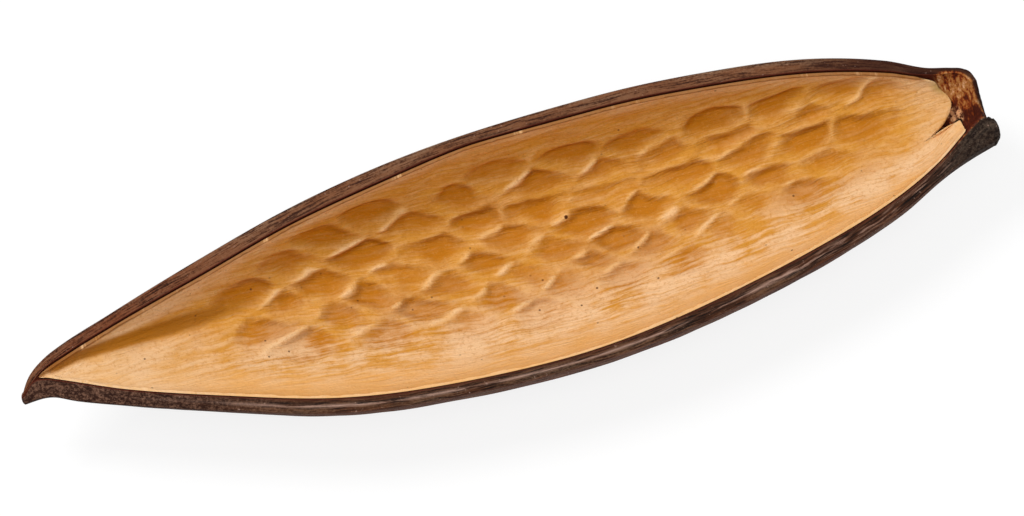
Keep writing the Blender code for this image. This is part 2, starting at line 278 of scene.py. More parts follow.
def closed_skin(name: str, node: str, rings: np.ndarray, marks: dict[str, np.ndarray],
                place: Vector) -> bpy.types.Object:
    """Make a closed skin through rings of points.

    Args:
        name: The piece's name.
        node: The solid that it stands for. Every piece keeps to the husk's box, which holds the lining too.
        rings: The rings in order, each with as many points, in millimetres.
        marks: Values for the finish, by name, one for each point.
        place: Where the pod's own zero lies in the frame, in millimetres.

    Returns:
        The piece, with its ends closed and its faces pointing out.
    """
    rows, across = rings.shape[:2]
    shape = bmesh.new()
    bmesh.ops.create_grid(shape, x_segments=across, y_segments=rows - 1, size=1.0)
    layers = {mark: shape.verts.layers.float.new(mark) for mark in marks}
    wrapped = np.concatenate([rings, rings[:, :1]], axis=1).reshape(-1, 3)
    spots = (wrapped + np.array(place)) * MM
    low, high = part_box("husk")
    spots = np.clip(spots, np.array(low), np.array(high))
    values = {mark: np.concatenate([m, m[:, :1]], axis=1).ravel() for mark, m in marks.items()}
    for vert, spot in zip(shape.verts, spots):
        vert.co = spot
    for mark, layer in layers.items():
        for vert, value in zip(shape.verts, values[mark]):
            vert[layer] = value
    bmesh.ops.remove_doubles(shape, verts=shape.verts, dist=1e-7)
    bmesh.ops.edgeloop_fill(shape, edges=[edge for edge in shape.edges if edge.is_boundary])
    if shape.calc_volume(signed=True) < 0:
        bmesh.ops.reverse_faces(shape, faces=shape.faces)
    mesh = bpy.data.meshes.new(name)
    shape.to_mesh(mesh)
    shape.free()
    mesh.shade_smooth()
    mesh.set_sharp_from_angle(angle=math.radians(75))
    piece = add_object(name, mesh)
    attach(piece, "root")
    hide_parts(node)
    return piece


class Socket:
    """An output of a shader node, which takes part in arithmetic."""

    def __init__(self, shader: "Finish", output: bpy.types.NodeSocket) -> None:
        """Wrap a node's output, in the finish that its node belongs to."""
        self.shader = shader
        self.output = output

    def __add__(self, other: "Socket | float") -> "Socket":
        """Add a number or a socket."""
        return self.shader.math("ADD", self, other)

    def __sub__(self, other: "Socket | float") -> "Socket":
        """Take a number or a socket away."""
        return self.shader.math("SUBTRACT", self, other)

    def __rsub__(self, other: float) -> "Socket":
        """Take this socket away from a number."""
        return self.shader.math("SUBTRACT", other, self)

    def __mul__(self, other: "Socket | float") -> "Socket":
        """Multiply by a number or a socket."""
        return self.shader.math("MULTIPLY", self, other)

    __radd__ = __add__
    __rmul__ = __mul__


class Finish:
    """A material whose look is worked out by nodes on the piece's own coordinates and marks."""

    def __init__(self, name: str) -> None:
        """Start an empty material of this name."""
        self.material = bpy.data.materials.new(name)
        self.material.use_nodes = True
        self.tree = self.material.node_tree
        self.surface = self.tree.nodes["Principled BSDF"]

    def node(self, kind: str, settings: dict, inputs: dict, output: int | str = 0) -> Socket:
        """Add a node.

        Args:
            kind: The node's type.
            settings: Its own settings, which are set first.
            inputs: Values or sockets for its inputs, by name or number.
            output: Which of its outputs to give back.

        Returns:
            The chosen output.
        """
        node = self.tree.nodes.new(kind)
        for key, value in settings.items():
            setattr(node, key, value)
        for key, value in inputs.items():
            if isinstance(value, Socket):
                self.tree.links.new(value.output, node.inputs[key])
            else:
                node.inputs[key].default_value = value
        return Socket(self, node.outputs[output])

    def math(self, operation: str, one: Socket | float, two: Socket | float = 0.0) -> Socket:
        """Work out a sum, difference, product or power of two numbers or sockets."""
        return self.node("ShaderNodeMath", {"operation": operation}, {0: one, 1: two})

    def mark(self, name: str) -> Socket:
        """Read one of the piece's marks."""
        return self.node("ShaderNodeAttribute", {"attribute_name": name}, {}, "Fac")

    def place(self) -> Socket:
        """Read the place on the piece, in metres."""
        return self.node("ShaderNodeTexCoord", {}, {}, "Object")

    def grain(self, along: float, across: float, sway: float = 0.0) -> Socket:
        """Give coordinates that run with the pod's fibres.

        Args:
            along: Lumps for each millimetre along the fibres.
            across: Lumps for each millimetre across them.
            sway: How far the fibres wander sideways, in lumps.

        Returns:
            A vector for a texture of scale 1.
        """
        wander = self.lumps(self.place(), 110.0, 2.0) * sway
        parts = {0: self.mark("along") * along, 1: self.mark("across") * across + wander}
        return self.node("ShaderNodeCombineXYZ", {}, parts)

    def lumps(self, vector: Socket, scale: float, detail: float, roughness: float = 0.5) -> Socket:
        """Give a cloudy pattern from 0 to 1 on a vector."""
        inputs = {"Vector": vector, "Scale": scale, "Detail": detail, "Roughness": roughness}
        return self.node("ShaderNodeTexNoise", {}, inputs)

    def stretch(self, value: Socket, low: float, high: float) -> Socket:
        """Map a value from 0 at low to 1 at high, with a smooth rise."""
        inputs = {"Value": value, "From Min": low, "From Max": high}
        return self.node("ShaderNodeMapRange", {"interpolation_type": "SMOOTHSTEP"}, inputs)

    def blend(self, share: Socket, one: Socket | Colour, two: Socket | Colour) -> Socket:
        """Blend two colours by a share from 0 to 1."""
        inputs = {0: share}
        for slot, colour in ((6, one), (7, two)):
            inputs[slot] = colour if isinstance(colour, Socket) else (*colour, 1.0)
        return self.node("ShaderNodeMix", {"data_type": "RGBA"}, inputs, 2)

    def bump(self, height: Socket, depth: float, strength: float) -> Socket:
        """Turn a height from 0 to 1 into a tilt of the surface, depth millimetres high."""
        inputs = {"Height": height, "Distance": depth * MM, "Strength": strength}
        return self.node("ShaderNodeBump", {}, inputs, "Normal")

    def close(self, colour: Socket, roughness: Socket, normal: Socket, gloss: float) -> bpy.types.Material:
        """Join the finished colour, roughness and tilt to the surface, and return the material."""
        for key, value in (("Base Color", colour), ("Roughness", roughness), ("Normal", normal)):
            self.tree.links.new(value.output, self.surface.inputs[key])
        self.surface.inputs["Specular IOR Level"].default_value = gloss
        return self.material


@dataclass(frozen=True)
class BarkFinish:
    """Dry dark brown husk: lengthwise fibres, pale scurf, a maroon inside and torn tissue at the stalk,
    with painted shade on the near rim and in the hole at the stalk end.
    """

    deep: Colour = (0.022, 0.006, 0.003)
    brown: Colour = (0.205, 0.078, 0.033)
    dusk: Colour = (0.045, 0.014, 0.007)
    red: Colour = (0.190, 0.055, 0.020)
    seared: Colour = (0.030, 0.006, 0.003)
    black: Colour = (0.007, 0.0035, 0.0025)
    shade_umber: Colour = (0.098, 0.032, 0.012)
    scurf: Colour = (0.270, 0.158, 0.092)
    wall: Colour = (0.150, 0.055, 0.032)
    blush: Colour = (0.480, 0.300, 0.230)
    ash: Colour = (0.095, 0.065, 0.045)
    crumb: Colour = (0.190, 0.094, 0.058)
    maroon: Colour = (0.100, 0.016, 0.006)
    tan: Colour = (0.52, 0.20, 0.050)
    flesh: Colour = (0.78, 0.42, 0.21)
    rust: Colour = (0.30, 0.050, 0.007)
    pink: Colour = (0.90, 0.44, 0.20)

    def make(self) -> bpy.types.Material:
        """Build the material and return it."""
        skin = Finish("dry_bark")
        fibres = skin.lumps(skin.grain(0.06, 1.3, 1.5), 1.0, 5.0, 0.7)
        threads = skin.lumps(skin.grain(0.22, 3.6, 3.0), 1.0, 3.0, 0.65)
        patches = skin.lumps(skin.grain(0.07, 0.35), 1.0, 3.0, 0.55)
        crumbs = skin.lumps(skin.place(), 1900.0, 4.0, 0.75)
        height = fibres * 0.4 + threads * 0.35 + crumbs * 0.25
        bark = self.bark(skin, fibres, threads, patches, crumbs)
        tissue = self.tissue(skin, crumbs)
        inside = skin.blend(skin.mark("inner"), bark, self.maroon)
        colour = skin.blend(skin.mark("torn"), inside, tissue)
        roughness = 0.60 + 0.25 * threads
        return skin.close(colour, roughness, skin.bump(height, 0.8, 1.0), 0.12)

    def bark(self, skin: Finish, fibres: Socket, threads: Socket, patches: Socket,
             crumbs: Socket) -> Socket:
        """Colour the rims and the outside, with painted shade on the near rim.

        Args:
            skin: The material.
            fibres: Broad lengthwise streaks.
            threads: Fine lengthwise streaks.
            patches: Long cloudy patches.
            crumbs: Fine grain with no direction.

        Returns:
            The colour.
        """
        out, near = skin.mark("out"), skin.mark("near")
        streaks = skin.stretch(fibres * 0.5 + threads * 0.5, 0.38, 0.60)
        grain = skin.stretch(streaks * 0.55 + crumbs * 0.75, 0.35, 0.85)
        far_rim = skin.blend(skin.mark("reddish"), skin.blend(grain, self.dusk, self.brown),
                             skin.blend(grain, self.deep, self.red))
        # Painted shade: the near rim gets black and a darker brown than the far rim, standing for the shade
        # on that side.
        near_rim = skin.blend(streaks, self.black, self.shade_umber)
        rim = skin.blend(near, far_rim, near_rim)
        wall = skin.blend(streaks, self.deep, self.wall)
        colour = skin.blend(skin.mark("rim"), wall, rim)
        dusty = skin.stretch(threads * 0.5 + patches * 0.5 + crumbs * 0.4, 0.66, 0.86)
        colour = skin.blend(dusty * (0.15 + 0.65 * out * (1.0 - 0.6 * near)), colour, self.scurf)
        lip = skin.mark("lip") * skin.stretch(threads * 0.6 + patches * 0.6, 0.52, 0.70)
        colour = skin.blend(lip * 0.85, colour, self.blush)
        clumps = skin.lumps(skin.grain(0.55, 1.6), 1.0, 5.0, 0.8)
        mottled = skin.blend(skin.stretch(clumps * 0.5 + crumbs * 0.5, 0.45, 0.60), self.deep, self.crumb)
        colour = skin.blend(skin.mark("mottle") * 0.9, colour, mottled)
        lumps = skin.blend(skin.stretch(crumbs * 0.5 + clumps * 0.5, 0.42, 0.66), self.black, self.ash)
        colour = skin.blend(skin.mark("charred") * 0.9, colour, lumps)
        colour = skin.blend(skin.mark("seared") * (1.0 - 0.25 * streaks), colour, self.seared)
        flecks = skin.stretch(skin.lumps(skin.place(), 1300.0, 3.0, 0.6), 0.66, 0.74)
        return skin.blend(flecks * 0.5, colour, self.blush)

    def tissue(self, skin: Finish, crumbs: Socket) -> Socket:
        """Colour the torn end wall: tan and flesh-coloured shreds, a dark red pit, a rusty crust and a hole
        painted black as shade.

        Args:
            skin: The material.
            crumbs: Fine grain with no direction.

        Returns:
            The colour.
        """
        scale = (1300.0, 520.0, 800.0)
        stretched = skin.node("ShaderNodeMapping", {}, {"Vector": skin.place(), "Scale": scale})
        shreds = skin.lumps(stretched, 1.0, 5.0, 0.7)
        broad = skin.lumps(skin.place(), 260.0, 2.0, 0.5)
        crust, pit = skin.mark("crust"), skin.mark("pit")
        level = shreds + 0.35 * (crumbs - 0.5) + 0.25 * (broad - 0.5) - 0.12 * crust - 0.20 * pit
        colour = skin.blend(skin.stretch(level, 0.34, 0.42), self.maroon, self.rust)
        colour = skin.blend(skin.stretch(level, 0.42, 0.50), colour, self.tan)
        colour = skin.blend(skin.stretch(level, 0.54, 0.64), colour, self.flesh)
        flake = skin.mark("flake") * skin.stretch(shreds * 0.5 + crumbs * 0.5, 0.47, 0.53)
        colour = skin.blend(flake, colour, self.pink)
        # Painted shade: the hole, only a shallow dent, is painted black as the dark inside of a deep hole.
        return skin.blend(skin.stretch(skin.mark("hole"), 0.35, 0.6), colour, self.black)


@dataclass(frozen=True)
class LiningFinish:
    """Smooth tan papery wood, with specks: golden in the hollows, darker there partly by painted shade;
    paler on crests, partly by painted highlight; paler along the walls; painted shade under the hollows'
    upper walls, in the valley at the tip and in the torn corner.
    """

    golden: Colour = (0.65, 0.285, 0.036)
    deep: Colour = (0.50, 0.170, 0.004)
    crest: Colour = (0.84, 0.47, 0.17)
    highlight_stroke: Colour = (0.90, 0.56, 0.27)
    strip: Colour = (0.82, 0.425, 0.135)
    cream: Colour = (0.85, 0.55, 0.30)
    shade_umber: Colour = (0.34, 0.115, 0.003)
    olive_shade: Colour = (0.36, 0.21, 0.045)
    bark: Colour = (0.26, 0.085, 0.010)
    speck: Colour = (0.10, 0.030, 0.008)
    dot: tuple[float, float, float] = (0.01328, 0.00802, 0.0040)
    dot_size: tuple[float, float] = (0.00048, 0.00034)

    def make(self) -> bpy.types.Material:
        """Build the material and return it."""
        skin = Finish("tan_lining")
        fibres = skin.lumps(skin.grain(0.10, 1.1, 3.0), 1.0, 5.0, 0.65)
        threads = skin.lumps(skin.grain(0.35, 3.6, 9.0), 1.0, 3.0, 0.6)
        clouds = skin.lumps(skin.place(), 120.0, 4.0, 0.6)
        stipple = skin.lumps(skin.place(), 1500.0, 4.0, 0.75)
        net, ridge, strip = (skin.mark(name) for name in ("net", "ridge", "strip"))
        shore, pale = skin.mark("shore"), skin.mark("pale")
        wash = skin.stretch(fibres * 0.45 + clouds * 0.35 + threads * 0.2, 0.42, 0.62)
        pebbles = skin.lumps(skin.place(), 420.0, 4.0, 0.65)
        colour = skin.blend(wash * 0.75, self.golden, self.crest)
        # Hollows darker: partly a deeper golden tone, partly painted shade in the seed hollows.
        hollow_tone_and_shade = skin.stretch(net * 0.42 + clouds * 0.78 + pebbles * 0.34, 0.42, 0.90)
        colour = skin.blend(hollow_tone_and_shade, colour, self.deep)
        # Painted shade: umber under the upper wall of each seed hollow, broken up by noise.
        shadow = skin.stretch(clouds * 0.4 + fibres * 0.3 + pebbles * 0.3, 0.36, 0.66)
        colour = skin.blend(skin.mark("arch") * shadow * 0.8, colour, self.shade_umber)
        # Painted highlight: the ridges, mostly those that climb away from the tip, are paler, partly as a
        # paler crest tone, and brightest in thin painted highlight strokes.
        ridge_tone_and_highlight = skin.stretch(ridge + 0.5 * (threads - 0.5), 0.08, 0.45)
        colour = skin.blend(ridge_tone_and_highlight * 0.8, colour, self.crest)
        ridge_highlight = skin.stretch(ridge + 0.5 * (pebbles - 0.5), 0.36, 0.72)
        colour = skin.blend(ridge_highlight * 0.9, colour, self.highlight_stroke)
        colour = skin.blend(strip, colour, self.strip)
        streaks = skin.stretch(fibres * 0.7 + threads * 0.3, 0.44, 0.64)
        washed = skin.stretch(fibres * 0.5 + clouds * 0.5, 0.40, 0.58)
        colour = skin.blend(washed * shore, colour, self.cream)
        colour = skin.blend(streaks * (0.10 + 0.3 * pale), colour, self.cream)
        soft = skin.stretch(fibres * 0.4 + clouds * 0.4 + pebbles * 0.2, 0.36, 0.60)
        colour = skin.blend(pale * (0.4 + 0.6 * soft), colour, self.cream)
        colour = skin.blend(skin.stretch(stipple, 0.50, 0.66) * (0.40 - 0.25 * strip), colour, self.deep)
        colour = skin.blend(skin.stretch(stipple, 0.46, 0.30) * 0.20, colour, self.crest)
        # Partly a deeper tone, partly painted shade: the valley near the tip is darkened umber.
        valley_tone_and_shade = skin.stretch(skin.mark("valley_tone_and_shade") + 0.6 * (fibres - 0.5), 0.1, 0.8)
        colour = skin.blend(valley_tone_and_shade * 0.9, colour, self.shade_umber)
        # Painted shade: olive on the lining's corner at the torn end, where it folds into shade.
        colour = skin.blend(skin.mark("shade") * 0.75, colour, self.olive_shade)
        chips = skin.lumps(skin.grain(0.11, 0.0), 1.0, 5.0, 0.75)
        colour = skin.blend(skin.mark("hem") * skin.stretch(chips, 0.66, 0.56) * 0.85, colour, self.bark)
        cells = {"Vector": skin.place(), "Scale": 520.0, "Randomness": 1.0}
        dots = skin.node("ShaderNodeTexVoronoi", {}, cells, "Distance")
        tint = skin.node("ShaderNodeTexVoronoi", {}, cells, "Color")
        rare = skin.node("ShaderNodeSeparateColor", {}, {0: tint}, 0)
        rare = skin.stretch(rare, 0.76, 0.86) * skin.stretch(clouds, 0.42, 0.58)
        specks = skin.stretch(dots, 0.16, 0.07) * rare
        colour = skin.blend(specks * 0.85, colour, self.speck)
        ends = {0: skin.place(), 1: self.dot}
        away = skin.node("ShaderNodeVectorMath", {"operation": "DISTANCE"}, ends, "Value")
        colour = skin.blend(skin.stretch(away, *self.dot_size), colour, self.speck)
        roughness = 0.46 + 0.14 * fibres
        relief = ridge * 0.4 - net * 0.6 + fibres * 0.45 + threads * 0.15 + pebbles * 0.22 + stipple * 0.07
        return skin.close(colour, roughness, skin.bump(relief, 1.0, 0.9), 0.10)


@dataclass(frozen=True)
class HuskZones:
    """Where each look of the husk starts and is full, in millimetres from the tip, or from the axis."""

    speckled_tip: Span = (20.0, 60.0)
    red_tip: Span = (20.0, 50.0)
    lip_start: Span = (6.0, 14.0)
    lip_end: Span = (176.0, 183.0)
    lip_widens: Span = (135.0, 160.0)
    seared_rim: Span = (150.0, 174.0)
    charred_rim: Span = (172.0, 184.0)
    burnt_rim: Span = (174.0, 184.0)
    tissue: Span = (176.5, 179.0)
    rough_wall: Span = (178.0, 182.0)
    torn_rim: Span = (181.5, 183.0)
    torn_rim_side: float = 4.2
    notch: Span = (182.0, 180.8)
    notch_side: Span = (10.5, 12.0)
    pit_side: Span = (7.0, 5.5)
    pit_mouth: Span = (182.5, 181.0)
    pit_mouth_side: Span = (9.0, 7.5)
    stub: Span = (187.4, 188.0)
    outer_end: float = 189.0


@dataclass
class Husk:
    """The dark woody half shell, from its beak to its broken stub."""

    form: PodForm
    zones: HuskZones = HuskZones()
    steps: int = 430
    outside_points: int = 120
    inside_points: int = 44
    rim_points: int = 9
    ridge_height: float = 0.22
    ridge_count: int = 13
    rest_x: float = 102.0
    rest_half: tuple[float, float] = (15.0, 8.0)
    stub_centre: tuple[float, float] = (1.1, -2.6)
    stub_half: tuple[float, float] = (2.6, 3.2)
    stub_x: tuple = (
        (188.6, 1.0), (188.9, 0.98), (189.2, 0.95), (189.45, 0.9), (189.7, 0.84), (189.9, 0.76),
        (190.05, 0.68), (190.15, 0.56), (190.2, 0.36),
    )
    flakes: tuple = (((182.8, 7.6), 2.2), ((184.0, 6.2), 1.6))
    beak_shares: tuple[float, ...] = (0.985, 0.95, 0.89, 0.81, 0.71, 0.59, 0.45, 0.29, 0.12)
    face_shares: tuple[float, ...] = (0.12, 0.25, 0.4, 0.55, 0.7, 0.85)
    wrinkle_height: float = 0.16
    small_end: float = 6.0
    lip_column: float = 5.0
    lip_width: tuple[float, float] = (0.9, 1.5)
    end_dip: float = 1.2
    end_dip_width: float = 2.5
    end_dip_start: float = 186.0
    pit: tuple[float, float] = (183.2, 6.9)
    hole: tuple[float, float] = (183.5, 4.9)

    def outside(self, x: np.ndarray, angle: np.ndarray) -> tuple[np.ndarray, np.ndarray]:
        """Give points of the outer face, with its bulge, ridges and wrinkles.

        Args:
            x: Stations along the pod.
            angle: 0 on the far rim and pi on the near one.

        Returns:
            The points' y and z.
        """
        form = self.form
        far = form.far_outer.at(x) + form.wave(x, 1)
        near = form.near_outer.at(x) + form.wave(x, -1)
        keel, depth = form.keel_y.at(x), form.keel_depth.at(x)
        y, z = form.section(far, near, keel, depth - form.rim_round, form.fullness.at(x), angle)
        z = z - form.rim_round
        from_rim = np.minimum(angle, math.pi - angle)
        size = np.minimum(1.0, depth / self.small_end)
        swell = form.bulge * size * np.sin(np.minimum(3 * from_rim, math.pi))
        away = np.hypot((x - self.rest_x) / self.rest_half[0], (y - keel) / self.rest_half[1])
        bend = rough_by_axis(x / 30.0, angle * 2.0, 7.0)
        turn = self.ridge_count * angle + 1.2 * bend
        ridge = self.ridge_height * size * np.sin(2 * turn) * smooth_step(0.05, 0.4, from_rim)
        wrinkle = rough_by_axis(x / 9.0, angle * 24.0, 2.0)
        wrinkle = self.wrinkle_height * size * (wrinkle - 0.5) * smooth_step(0.0, 0.25, from_rim)
        grow = swell + (ridge + wrinkle) * smooth_step(0.8, 1.6, away)
        return y + grow * np.cos(angle), z - grow * np.sin(angle)

    def inside(self, x: np.ndarray, angle: np.ndarray) -> tuple[np.ndarray, np.ndarray]:
        """Give points of the inner face, with the torn tissue and the pit at the stalk end.

        Args:
            x: Stations along the pod.
            angle: 0 on the far rim and pi on the near one.

        Returns:
            The points' y and z.
        """
        far, near, keel = self.form.cavity_edges(x)
        depth = np.maximum(self.form.cavity_depth(x), 0.02)
        y, z = self.form.section(far, near, keel, depth, self.form.fullness.at(x), angle)
        z = z - self.form.rim_crown
        from_rim = np.minimum(angle, math.pi - angle)
        end = smooth_step(*self.zones.rough_wall, x) * smooth_step(0.0, 0.35, from_rim)
        shred = rough_by_axis(x / 0.9, y / 2.4, z / 2.4)
        crumb = rough_by_axis(x / 0.9, y / 0.9, z / 0.9, shift=4.0)
        deep = 0.9 * self.round_spot(x, y, self.pit, 1.5) + 1.0 * self.round_spot(x, y, self.hole, 0.7)
        return y, z - end * (0.25 + 0.4 * shred + 0.3 * crumb + deep) * smooth_step(0.0, 1.0, -z)

    def shred(self, x: np.ndarray, y: np.ndarray, middle: tuple[float, float], length: float) -> np.ndarray:
        """Give 1 on a pale shred across the pod seen from above, with ragged edges."""
        ragged = rough_by_axis(x / 0.7, y / 0.7, 0.0, shift=3.0)
        away = np.hypot((x - middle[0] - 0.25 * ragged) / 0.7, (y - middle[1]) / length)
        return 1.0 - smooth_step(0.7, 1.1, away + 0.5 * ragged)

    def round_spot(self, x: np.ndarray, y: np.ndarray, middle: tuple[float, float],
                   width: float) -> np.ndarray:
        """Give 1 in the middle of a round spot seen from above, falling off at its width."""
        return bell(np.hypot(x - middle[0], y - middle[1]), 0.0, width)

    def rings(self) -> tuple[np.ndarray, dict[str, np.ndarray]]:
        """Work out the husk's outlines.

        Returns:
            The rings of points, and the finish's marks on them.
        """
        x = stations(0.0, self.form.husk_end, self.steps, 0.16)
        out_turn = np.linspace(math.pi, 0.0, self.outside_points + 1)
        in_half = np.linspace(math.pi / 2, math.pi, self.inside_points // 2 + 1)
        turns = (out_turn, in_half, in_half - math.pi / 2)
        wide = [np.broadcast_arrays(x[:, None], turn[None, :]) for turn in turns]
        outside = np.stack([wide[0][0], *self.outside(*wide[0])], axis=-1)
        to_near = np.stack([wide[1][0], *self.inside(*wide[1])], axis=-1)
        from_far = np.stack([wide[2][0], *self.inside(*wide[2])], axis=-1)
        near_rim = self.rim(to_near[:, -1], outside[:, 0], 5.0)
        far_rim = self.rim(outside[:, -1], from_far[:, 0], 9.0)
        parts = [to_near, near_rim, outside, far_rim, from_far[:, :-1]]
        kinds = np.repeat(np.arange(5), [part.shape[1] for part in parts])
        rings = self.dished(np.concatenate(parts, axis=1))
        return self.with_ends(rings, self.marks(rings, kinds))

    def dished(self, rings: np.ndarray) -> np.ndarray:
        """Draw the middle of the stalk end's wall in, and return the rings."""
        middle = (self.form.far_outer.at(self.form.husk_end) + self.stub_centre[0]) / 2
        depth = self.end_dip * bell(rings[..., 1], middle, self.end_dip_width)
        rings[..., 0] -= depth * smooth_step(self.end_dip_start, self.form.husk_end, rings[..., 0])
        return rings

    def rim(self, start: np.ndarray, end: np.ndarray, shift: float) -> np.ndarray:
        """Arch over the rim from one face to the other, with fibres along it.

        Args:
            start: The last points of one face.
            end: The first points of the other.
            shift: Moves the random field, so that the two rims differ.

        Returns:
            Rows of points over the rim.
        """
        share = np.linspace(0.0, 1.0, self.rim_points + 2)[1:-1]
        row = start[:, None] + share[None, :, None] * (end - start)[:, None]
        arch = np.sin(math.pi * share) ** 0.45
        low = row[..., 2] + (0.0 - row[..., 2]) * arch
        width = np.linalg.norm(end - start, axis=-1)[:, None]
        x, y = row[..., 0], row[..., 1]
        fibre = rough_by_axis(x / 7.0, y / 0.42, shift)
        coarse = rough_by_axis(x / 3.0, y / 1.6, shift, shift=4.0)
        row[..., 2] = low - arch * np.minimum(1.0, width / 1.5) * (0.12 + 0.1 * fibre + 0.08 * coarse)
        return row

    def marks(self, rings: np.ndarray, kinds: np.ndarray) -> dict[str, np.ndarray]:
        """Say what each point of the rings is, for the finish.

        Args:
            rings: The rings of points.
            kinds: What each column belongs to: 0 and 4 the inside, 1 and 3 the rims, 2 the outside.

        Returns:
            The marks by name.
        """
        x, y, z = rings[..., 0], rings[..., 1], rings[..., 2]
        step = np.linalg.norm(np.diff(rings[len(rings) // 2], axis=0), axis=-1)
        across = np.concatenate([[0.0], np.cumsum(step)])
        share = np.linspace(0.0, 1.0, self.rim_points + 2)[1:-1]
        out = np.zeros(len(kinds))
        out[kinds == 1], out[kinds == 2], out[kinds == 3] = share, 1.0, share[::-1]
        outside = np.flatnonzero(kinds == 2)
        near = (np.arange(len(kinds)) < outside[len(outside) // 2]) * np.ones_like(x)
        zones = self.zones
        lip_width = self.lip_width[0] + self.lip_width[1] * smooth_step(*zones.lip_widens, x)
        lip = bell(np.arange(len(kinds)), outside[0] - self.lip_column, lip_width)
        is_rim, is_inside = np.isin(kinds, (1, 3)), np.isin(kinds, (0, 4))
        stalk = smooth_step(*zones.tissue, x)
        inner_rim = is_rim * (1.0 - smooth_step(0.15, 0.5, out)) * smooth_step(*zones.torn_rim, x)
        from_outer = np.minimum(self.form.far_outer.at(x) - y, zones.outer_end - x)
        crust = 1.0 - smooth_step(0.4, 1.6, from_outer)
        burnt = 0.7 * smooth_step(*zones.burnt_rim, x)
        notch = smooth_step(*zones.notch, x) * smooth_step(*zones.notch_side, y)
        before_stub = 1.0 - smooth_step(*zones.stub, x)
        torn = np.maximum(is_inside * stalk * (1.0 - notch), inner_rim * (y > zones.torn_rim_side))
        pit = self.round_spot(x, y, self.pit, 1.9) + smooth_step(*zones.pit_side, y)
        pit += smooth_step(*zones.pit_mouth, x) * smooth_step(*zones.pit_mouth_side, y)
        flake = sum(self.shred(x, y, *size) for size in self.flakes)
        return {
            "along": x.copy(),
            "across": np.broadcast_to(across, x.shape).copy(),
            "rim": np.broadcast_to(is_rim.astype(float), x.shape).copy(),
            "out": np.broadcast_to(out, x.shape).copy(),
            "near": near,
            "lip": lip * smooth_step(*zones.lip_start, x) * (1.0 - smooth_step(*zones.lip_end, x)),
            "mottle": near * (1.0 - smooth_step(*zones.speckled_tip, x)),
            "charred": near * smooth_step(*zones.charred_rim, x) * smooth_step(0.35, 0.75, out + burnt),
            "reddish": 1.0 - smooth_step(*zones.red_tip, x),
            "seared": (1.0 - near) * smooth_step(*zones.seared_rim, x),
            "inner": is_inside * np.maximum(1.0 - stalk, notch),
            "torn": torn * before_stub,
            "pit": is_inside * np.clip(pit, 0.0, 1.0),
            # Where the hole is painted black as shade.
            "hole": is_inside * self.round_spot(x, y, self.hole, 0.9),
            "crust": (is_inside | is_rim) * crust * stalk,
            "flake": is_inside * np.clip(flake, 0.0, 1.0),
        }

    def with_ends(self, rings: np.ndarray, marks: dict[str, np.ndarray]) -> tuple[np.ndarray, dict]:
        """Add the beak's end and the stub to the rings.

        Args:
            rings: The rings of the shell.
            marks: Their marks.

        Returns:
            All the rings, and their marks.
        """
        first, last = rings[0], rings[-1]
        middle = np.array([0.0, *self.form.beak_centre])
        beak = []
        for share in self.beak_shares:
            ring = middle + (first - middle) * share
            ring[:, 0] = -self.form.beak_end * math.sqrt(1.0 - share ** 2)
            beak.append(ring)
        turn = np.arctan2(last[:, 2] - self.stub_centre[1], last[:, 1] - self.stub_centre[0])
        ends = [self.stub_ring(turn, x, size) for x, size in self.stub_x]
        face = [last + (ends[0] - last) * share for share in self.face_shares]
        for ring in face:
            ring[:, 0] -= 0.12 + 0.25 * rough(ring / (2.0, 0.9, 0.9), 1.0, 0.0)
        whole = np.concatenate([self.form.droop(np.array(beak[::-1] + list(rings))), face + ends])
        made = {}
        for name, mark in marks.items():
            made[name] = np.concatenate([mark[:1]] * len(beak) + [mark] + [mark[-1:]] * len(face + ends))
        for name in ("torn", "inner", "pit", "hole", "crust", "flake", "reddish"):
            made[name][-len(ends):] = 0.0
        made["rim"][-len(ends):] = made["charred"][-len(ends):] = made["near"][-len(ends):] = 1.0
        return whole, made

    def stub_ring(self, turn: np.ndarray, x: float, share: float) -> np.ndarray:
        """Give one knobbly outline of the stub.

        Args:
            turn: The direction of each point from the stub's middle.
            x: The station of the outline.
            share: Its size against the stub's full size.

        Returns:
            The outline's points.
        """
        ring = np.stack([
            np.full_like(turn, x),
            self.stub_centre[0] + self.stub_half[0] * share * np.cos(turn),
            self.stub_centre[1] + self.stub_half[1] * share * np.sin(turn),
        ], axis=-1)
        knob = 1.0 + 0.26 * rough(ring, 1.7, 0.0) + 0.16 * rough(ring, 0.7, 8.0)
        ring[:, 1] = self.stub_centre[0] + (ring[:, 1] - self.stub_centre[0]) * knob
        ring[:, 2] = self.stub_centre[1] + (ring[:, 2] - self.stub_centre[1]) * knob
        return ring

    def build(self, place: Vector) -> bpy.types.Object:
        """Make the husk where its solid is.

        Args:
            place: Where the pod's own zero lies in the frame, in millimetres.

        Returns:
            The finished piece.
        """
        rings, marks = self.rings()
        piece = closed_skin("husk_shell", "husk", rings, marks, place)
        piece.data.materials.append(BarkFinish().make())
        return piece


@dataclass(frozen=True)
class LiningZones:
    """Where each look of the lining starts and is full, in millimetres from the tip."""

    pale_tip: Span = (20.0, 60.0)
    cream_tip: Span = (22.0, 44.0)
    folded_tip: Span = (55.0, 85.0)
    valley_dark_start: Span = (4.0, 7.5)
    valley_dark_end: Span = (28.0, 56.0)
    shore: Span = (20.0, 50.0)
    far_edge_dims: Span = (50.0, 90.0)
    pale_end: Span = (172.0, 179.0)
    strip_leans: Span = (176.0, 182.0)


